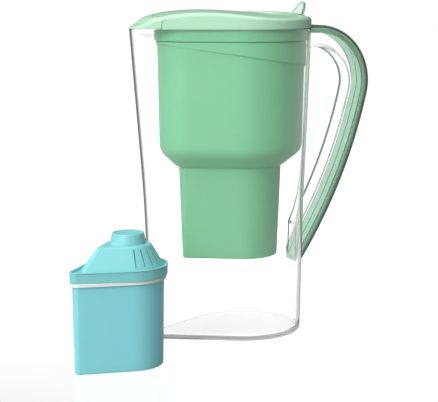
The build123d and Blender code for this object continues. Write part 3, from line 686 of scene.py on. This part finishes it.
cup_rows = [
    row(0, inset(CUP_FOOT, CUP_WALL)), row(0, CUP_FOOT, 1.0),
    row(SEAL_LOW, CUP_TOP, 0.3), row(CUP_TALL, CUP_TOP, 0.3),
    row(CUP_TALL, inset(CUP_TOP, CUP_WALL), 0.3),
    row(CUP_WALL, inset(CUP_FOOT, CUP_WALL), 0.8), row(CUP_WALL, inset(CUP_FOOT, 2.4)),
]
cup = skin("cup", stand(grid_of(soften(cup_rows))))
dress(cup, "cartridge", "teal_cup", TEAL, "cartridge_cup")

# %% The seal
SEAL = plastic("seal_white", (0.80, 0.87, 0.87), (0.75, 0.83, 0.83), 0.55, relief=0.2)
SEAL_OUT = inset(CUP_TOP, -1.7)
seal_rows = [
    row(SEAL_LOW + 1.2, SEAL_OUT), row(CAP_LOW, SEAL_OUT, 0.6), row(CAP_LOW, CUP_TOP, 0.1),
    row(SEAL_LOW, CUP_TOP, 0.1), row(SEAL_LOW, SEAL_OUT, 0.6), row(SEAL_LOW + 1.1, SEAL_OUT),
]
seal = skin("seal", stand(grid_of(soften(seal_rows))), loop=True)
dress(seal, "cartridge", "seal_white", SEAL, "cartridge_seal")

# %% [markdown]
# ## The cartridge's cap
# The cap has a lipped rim with a groove behind it, a slanted dome with slots that let the water
# in, and a round knob to lift it by. The slots could be cut by a Boolean, fifteen times, but that
# breaks the smooth grid. Here the ring has points exactly at each slot's sides, and the points
# between them are pressed 3 towards the axis, so the slots stay part of one skin.

# %% Where the slots are
DOME_SLOPE = 0.574
DOME_FOOT, DOME_EDGE = teardrop(26.6, -40.4, DOME_SLOPE), teardrop(18.0, -26.0, DOME_SLOPE)
SLOTS, SLOT_STEP, SLOT_HALF, SLOT_DEEP = 15, 16.4, 1.15, 3.0
SLOT_SIDES = np.array([-1.25, -1.0, 1.0, 1.25]) * SLOT_HALF
dome_arc = 180 - np.degrees(np.arccos((DOME_FOOT[2] - DOME_FOOT[0]) / DOME_FOOT[1]))
slot_at = (np.arange(SLOTS) - SLOTS // 2) * SLOT_STEP
slot_edges = (slot_at[:, None] + SLOT_SIDES).ravel()
CAP_REAR = np.unique(np.concatenate([REAR, slot_edges / dome_arc]))
print("slots:", len(slot_at), "on", round(2 * dome_arc), "degrees of dome")

# %% The cap's profile
RIM = np.array([30.3, -49.2, 5.0])
LIP, LIP_WALL, LIP_GROOVE = inset(RIM, -0.5), 1.8, 1.7
RIM_TOP, DOME_TALL, KNOB_TALL = 79.1, 15.8, 8.2
KNOB_LOW, KNOB_TOP = RIM_TOP + DOME_TALL, RIM_TOP + DOME_TALL + KNOB_TALL
SLOT_LOW, SLOT_HIGH = 0.95, 13.35


def knob_ring(radius):
    """The round knob's ring, as a teardrop whose nose circle hardly leaves the rear one."""
    return np.array([radius, -0.01, radius])


def dome_row(rise, rounding=0.0):
    """The dome's slanted side at a rise h above the rim: h / 14.8 of the way to its edge."""
    return row(RIM_TOP + rise, mix(DOME_FOOT, DOME_EDGE, rise / 14.8), rounding)


cap_rows = [
    row(KNOB_LOW - LIP_WALL, inset(DOME_EDGE, LIP_WALL)), row(RIM_TOP, inset(DOME_FOOT, LIP_WALL)),
    row(CAP_LOW, inset(CUP_TOP, -0.3), 0.2), row(CAP_LOW, RIM, 0.5),
    row(RIM_TOP - 1.2, RIM, 0.2), row(RIM_TOP - 1.0, LIP, 0.2),
    row(RIM_TOP, LIP, 0.5), row(RIM_TOP, inset(LIP, LIP_WALL), 0.4),
    row(RIM_TOP - LIP_GROOVE, inset(LIP, 1.9), 0.2),
    row(RIM_TOP - LIP_GROOVE, inset(DOME_FOOT, -0.6), 0.3),
    *[dome_row(rise) for rise in (0.9, 1.0, 4.0, 8.0, 11.0, 13.3, 13.4)],
    dome_row(15.6, 1.6), row(KNOB_LOW, knob_ring(14.0), 0.6),
    row(KNOB_TOP, knob_ring(12.2), 1.2), row(KNOB_TOP, knob_ring(11.4), 0.2),
    row(KNOB_TOP - 0.7, knob_ring(7.0)), row(KNOB_TOP - 1.0, knob_ring(2.0)),
]
cap_levels = soften(cap_rows)
cap_grid = grid_of(cap_levels, rear=CAP_REAR)
print("cap grid:", cap_grid.shape)

# %% The slots are pressed in
TEAL_CAP = plastic(
    "teal_cap", (0.225, 0.62, 0.63), (0.21, 0.60, 0.61), 0.34, relief=0.15,
    Subsurface_Weight=0.12, Subsurface_Scale=2 * MM,
)
above_rim = cap_levels[:, 0] - RIM_TOP
on_dome = (above_rim > SLOT_LOW) & (above_rim < SLOT_HIGH)
on_dome &= np.arange(len(cap_levels)) > np.argmax(cap_levels[:, 1])
from_slot = np.abs((CAP_REAR * dome_arc)[:, None] - slot_at).min(1)
pressed = on_dome[:, None] & (from_slot < SLOT_HALF * 1.1)
rear_points = cap_grid[:, : len(CAP_REAR), :2]
axis_distance = np.linalg.norm(rear_points, axis=-1, keepdims=True)
rear_points -= np.where(pressed[:, :, None], SLOT_DEEP, 0.0) * rear_points / axis_distance
cap = skin("cap", stand(cap_grid))
dress(cap, "cartridge", "teal_cap", TEAL_CAP, "cartridge_cap")

# %% [markdown]
# ## The lid, its flaps and the thumb tab
# The lid is a shallow dome with a flap over the spout, a refill flap, and the tab that lifts it.
# These forms, with their hinges and lugs, could be built again as surfaces, but nothing would be
# gained: the solids have them already. So each is a copy of its solid with its corners merged,
# and a Bevel modifier rounds its edges as a mould does. Only the spout's nose is reshaped: the
# real one runs out to a thinner tip than the solid has.

# %% A softened copy of a solid
# Painted light: painted paler than the funnel's mint, for the sheen of the top light on the lid.
MINT_LID_PAINTED_PALER = plastic(
    "mint_lid", (0.455, 0.75, 0.535), (0.435, 0.73, 0.515), 0.16, wear=0.05, relief=0.06,
    Subsurface_Weight=0.15, Subsurface_Scale=2 * MM,
)
EDGE_ANGLE, FLAT_ANGLE, WELD = radians(40.0), radians(0.5), 1e-6


def softened_copy(node, name, width, reshape=None):
    """A copy of a solid's mesh, its corners merged, with a bevel of a set width on sharp edges."""
    mesh = frame["nodes"][node].data.copy()
    mesh.name = name
    if reshape:
        flat = np.empty(len(mesh.vertices) * 3)
        mesh.vertices.foreach_get("co", flat)
        mesh.vertices.foreach_set("co", (reshape(flat.reshape(-1, 3) / MM) * MM).ravel())
    work = bmesh.new()
    work.from_mesh(mesh)
    bmesh.ops.remove_doubles(work, verts=work.verts, dist=WELD)
    bmesh.ops.dissolve_limit(work, angle_limit=FLAT_ANGLE, verts=work.verts, edges=work.edges)
    work.to_mesh(mesh)
    work.free()
    piece = add_piece(name, mesh)
    bevel = piece.modifiers.new("bevel", "BEVEL")
    bevel.width = width * MM
    bevel.segments = 2
    bevel.limit_method = "ANGLE"
    bevel.angle_limit = EDGE_ANGLE
    mesh.shade_smooth()
    mesh.set_sharp_from_angle(angle=EDGE_ANGLE)
    print(f"{name}: {len(mesh.polygons)} faces before its bevel")
    return piece


# %% The spout's thin nose
NOSE_THINS_FROM, NOSE_TIP, NOSE_THINNER = -83.0, -98.0, 0.6
SEAM_FROM, SEAM_TO, SEAM_BELOW, SEAM_BACK = -88.0, -80.0, 261.0, 0.5


def thin_nose(points):
    """Draws the spout's nose to a thin tip, s = smoothstep from x = -83 to x = -98: heights above
    the rim shrink to 1 - 0.6 s. Below the hinge bar, the seam's edge stands 0.5 further back."""
    x, y, z = points.T
    s = np.clip((NOSE_THINS_FROM - x) / (NOSE_THINS_FROM - NOSE_TIP), 0, 1)
    s = s * s * (3 - 2 * s)
    back = np.clip((x - SEAM_FROM) / (SEAM_TO - SEAM_FROM), 0, 1) * (z < SEAM_BELOW)
    thin = JUG_HEIGHT + (z - JUG_HEIGHT) * (1 - NOSE_THINNER * s)
    return np.stack([x - SEAM_BACK * back, y, thin], 1)


lid = softened_copy("lid_shell", "lid", 0.3)
dress(lid, "lid", "mint_lid", MINT_LID_PAINTED_PALER, "lid_shell")
spout_cover = softened_copy("spout_flap", "spout_cover", 0.25, thin_nose)
dress(spout_cover, "spout_flap", "mint_lid", MINT_LID_PAINTED_PALER, "spout_flap")
refill_cover = softened_copy("fill_flap", "refill_cover", 0.35)
dress(refill_cover, "fill_flap", "mint_lid", MINT_LID_PAINTED_PALER, "fill_flap")
thumb_paddle = softened_copy("thumb_tab", "thumb_paddle", 0.4)
dress(thumb_paddle, "fill_flap", "clear_green", CLEAR_TAB, "thumb_tab")

# %% [markdown]
# ## The pin and what is inside the cartridge
# A steel pin holds the refill flap. Inside the cartridge lie screens, felt pads and beds of
# mineral, resin and carbon grains. The grains could be thousands of small pieces, but nobody sees
# more than a bed's face. So the solids stay as they are, and each gets a material whose bump has
# the scale of its own grain or felt.

# %% Materials for the solids that stay
STEEL = plastic(
    "hinge_steel", (0.62, 0.63, 0.64), (0.55, 0.56, 0.57), 0.28, grain=2500.0, relief=0.2,
    Metallic=1.0,
)
SCREEN = plastic("screen_white", (0.80, 0.81, 0.80), (0.74, 0.76, 0.75), 0.5)
FELT = plastic(
    "felt_white", (0.80, 0.80, 0.76), (0.66, 0.66, 0.62), 0.95, mottle=0.9, grain=1800.0,
    relief=0.9,
)
MINERAL = plastic(
    "mineral_grain", (0.36, 0.28, 0.18), (0.20, 0.15, 0.10), 0.8, mottle=0.9, grain=700.0,
    relief=1.0,
)
RESIN = plastic(
    "resin_grain", (0.62, 0.36, 0.11), (0.48, 0.26, 0.07), 0.5, mottle=0.9, grain=1400.0,
    relief=1.0,
)
CARBON = plastic(
    "carbon_grain", (0.012, 0.012, 0.013), (0.03, 0.03, 0.03), 0.6, mottle=0.9, grain=800.0,
    relief=1.0,
)

# %% Every solid gets its slot's material
BY_SLOT = {
    "clear_plastic": CLEAR, "clear_green": CLEAR_GREEN, "mint_body": MINT, "mint_lid": MINT_LID_PAINTED_PALER,
    "teal_cup": TEAL, "teal_cap": TEAL_CAP, "seal_white": SEAL, "hinge_steel": STEEL,
    "screen_white": SCREEN, "felt_white": FELT, "mineral_grain": MINERAL,
    "resin_grain": RESIN, "carbon_grain": CARBON,
}
for part in frame["record"]["subparts"]:
    solid = frame["nodes"][part["node"]]
    solid.data.materials.clear()
    solid.data.materials.append(BY_SLOT[part["material_slot"]])
print("slots with a material:", len(BY_SLOT))

# %% [markdown]
# ## White floor
# The object stands on white in a studio: the floor is white to the eye, and still has a soft
# shadow and a faint mirror image. Strong lamps on a white floor would do that, but they would burn
# out the pale plastics. So the floor glows for the camera and for what glass shows, a grey matt
# share keeps the shadow, and a faint gloss keeps the mirror image. Light Path tells the rays apart.

# %% Which rays see the white
MIRRORED, THROUGH_GLASS, MIRRORED_THEN_GLASS = 0.15, 1.08, -0.7


def backdrop_paths(tree, fade=MIRRORED_THEN_GLASS):
    """1 on camera rays and inside or behind glass, 0.15 on reflections, and 0 on every ray that
    lights a surface: camera + 1.08 transmission + 0.15 glossy where diffuse depth is 0. What a
    reflection shows through glass is less by fade, a number or an output."""
    path = tree.nodes.new("ShaderNodeLightPath").outputs
    through = maths(tree, "MINIMUM", path["Transmission Depth"], 1.0)
    bounced = maths(tree, "MINIMUM", path["Glossy Depth"], 1.0)
    kept = maths(tree, "MULTIPLY_ADD", bounced, fade, 1.0)
    behind_glass = maths(tree, "MULTIPLY", through, kept)
    seen = maths(tree, "MULTIPLY_ADD", behind_glass, THROUGH_GLASS, path["Is Camera Ray"])
    shown = maths(tree, "MULTIPLY_ADD", path["Is Glossy Ray"], MIRRORED, seen)
    lights_nothing = maths(tree, "LESS_THAN", path["Diffuse Depth"], 0.5)
    return maths(tree, "MULTIPLY", shown, lights_nothing)


# %% The floor's material
MATT, GLOSS, GLOSS_ROUGH = 0.16, 0.22, 0.14
AWAY_FROM_CAMERA, NEAR, FAR = (0.8, 0.6, 0), -0.3, 0.02
NEAR_GLOW, FAR_GLOW = 0.65, 0.94


def floor_material():
    """A glow that goes from 0.65 near the camera to 0.94 further back, plus a grey diffuse that
    keeps the shadow, plus a faint gloss."""
    material = bpy.data.materials.new("studio_floor")
    material.use_nodes = True
    tree = material.node_tree
    tree.nodes.remove(tree.nodes["Principled BSDF"])
    glow, matt, gloss, place, both, all_three = new_nodes(
        tree, "Emission", "BsdfDiffuse", "BsdfGlossy", "TexCoord", "AddShader", "AddShader"
    )
    set_inputs(matt, Color=(MATT, MATT, MATT, 1))
    set_inputs(gloss, Color=(GLOSS, GLOSS, GLOSS, 1), Roughness=GLOSS_ROUGH)
    further = dot(tree, place.outputs["Object"], AWAY_FROM_CAMERA)
    level = ramp(tree, further, NEAR, FAR, NEAR_GLOW, FAR_GLOW)
    strength = maths(tree, "MULTIPLY", backdrop_paths(tree), level)
    tree.links.new(strength, glow.inputs["Strength"])
    for total, first, second in ((both, glow, matt), (all_three, both, gloss)):
        tree.links.new(first.outputs[0], total.inputs[0])
        tree.links.new(second.outputs[0], total.inputs[1])
    tree.links.new(all_three.outputs[0], tree.nodes["Material Output"].inputs["Surface"])
    return material


# %% The floor
FLOOR_HALF, FLOOR_Z = 6.0, -0.2 * MM
corners = [(-FLOOR_HALF, -FLOOR_HALF), (FLOOR_HALF, -FLOOR_HALF)]
corners += [(FLOOR_HALF, FLOOR_HALF), (-FLOOR_HALF, FLOOR_HALF)]
floor_mesh = bpy.data.meshes.new("floor")
floor_mesh.from_pydata([(x, y, FLOOR_Z) for x, y in corners], [], [(0, 1, 2, 3)])
floor_mesh.materials.append(floor_material())
floor = add_piece("floor", floor_mesh)
print("floor:", 2 * FLOOR_HALF, "m square")

# %% [markdown]
# ## The world
# Round the set stands a soft white tent, brighter on the spout's side than on the handle's, so
# that the round walls are shaded from left to right. It could be a picture of a studio, but a
# scene with no picture files is easier to keep. So the world is a smooth ramp from dim to bright
# along one direction. It shows as plain white to the camera and through glass. Light that has
# bounced off a surface and then passes glass counts half, because the same light also reaches the
# funnel straight through the vessel, which casts no shadow.

# %% World light
BRIGHT_SIDE, BEHIND = (-0.90, -0.30, 0.32), (0.4, 0.92, 0.0)

world = bpy.data.worlds.new("studio")
world.use_nodes = True
bpy.context.scene.world = world
sky = world.node_tree
place, level = new_nodes(sky, "TexCoord", "Mix")
toward = place.outputs["Generated"]
path = sky.nodes.new("ShaderNodeLightPath").outputs
tent = ramp(sky, dot(sky, toward, BRIGHT_SIDE), -0.6, 0.9, 0.02, 0.95, smooth=True)
passed_glass = maths(sky, "MINIMUM", path["Is Transmission Ray"], path["Diffuse Depth"])
halved = maths(sky, "MULTIPLY_ADD", passed_glass, -0.5, 1.0)
sky.links.new(maths(sky, "MULTIPLY", tent, halved), level.inputs["A"])
set_inputs(level, B=1.0)
fade = ramp(sky, dot(sky, toward, BEHIND), -0.2, 0.5, -0.75, 0.0)
sky.links.new(backdrop_paths(sky, fade), level.inputs["Factor"])
sky.links.new(level.outputs["Result"], sky.nodes["Background"].inputs["Strength"])
set_inputs(sky.nodes["Background"], Color=(1, 1, 1, 1))
print("world:", len(sky.nodes), "nodes")

# %% [markdown]
# ## Lamps
# Two softboxes light the set: a key lamp on the spout's side and a large one overhead. A sun lamp
# would be simpler, but its shadows are hard. Large area lamps give the long soft shading of a
# product photograph. They stand at a plain level, at which a colour renders about as it is
# written, and they don't show through glass, where they would count twice.

# %% Softboxes
def softbox(name, at, towards, size, power):
    """A square area lamp at a point, turned to face another."""
    lamp = bpy.data.lights.new(name, "AREA")
    lamp.size = size
    lamp.energy = power
    holder = add_piece(name, lamp)
    holder.location = at
    direction = Vector(towards) - Vector(at)
    holder.rotation_euler = direction.to_track_quat("-Z", "Y").to_euler()
    holder.visible_transmission = False
    print(f"{name} lamp: {power} W, {size} m square")
    return holder


key = softbox("key", (-1.25, -0.80, 0.9), (-0.05, 0, 0.15), 0.9, 14.5)
top = softbox("top", (-0.1, -0.1, 1.5), (-0.05, 0, 0.1), 1.2, 8.0)

# %% [markdown]
# ## Camera
# The picture looks down by about 9 degrees from about 1.1 m away, with the spout turned towards
# it. A camera could be aimed at the object by a constraint, but fixed numbers are safer, since
# other views move the camera. These were worked out from the jug's base, the lid and the knob.

# %% Camera and view
CAMERA_AT, LOOKS_DOWN, TURNED, LENS = (-0.45259, -0.99189, 0.28912), 9.3647, 23.4668, 106.98
camera = add_piece("camera", bpy.data.cameras.new("camera"))
camera.data.lens = LENS
camera.data.clip_start = 0.05
camera.location = CAMERA_AT
camera.rotation_euler = (radians(90 - LOOKS_DOWN), 0, -radians(TURNED))
bpy.context.scene.camera = camera
bpy.context.scene.view_settings.view_transform = "Standard"
print("camera:", CAMERA_AT, "lens", LENS)
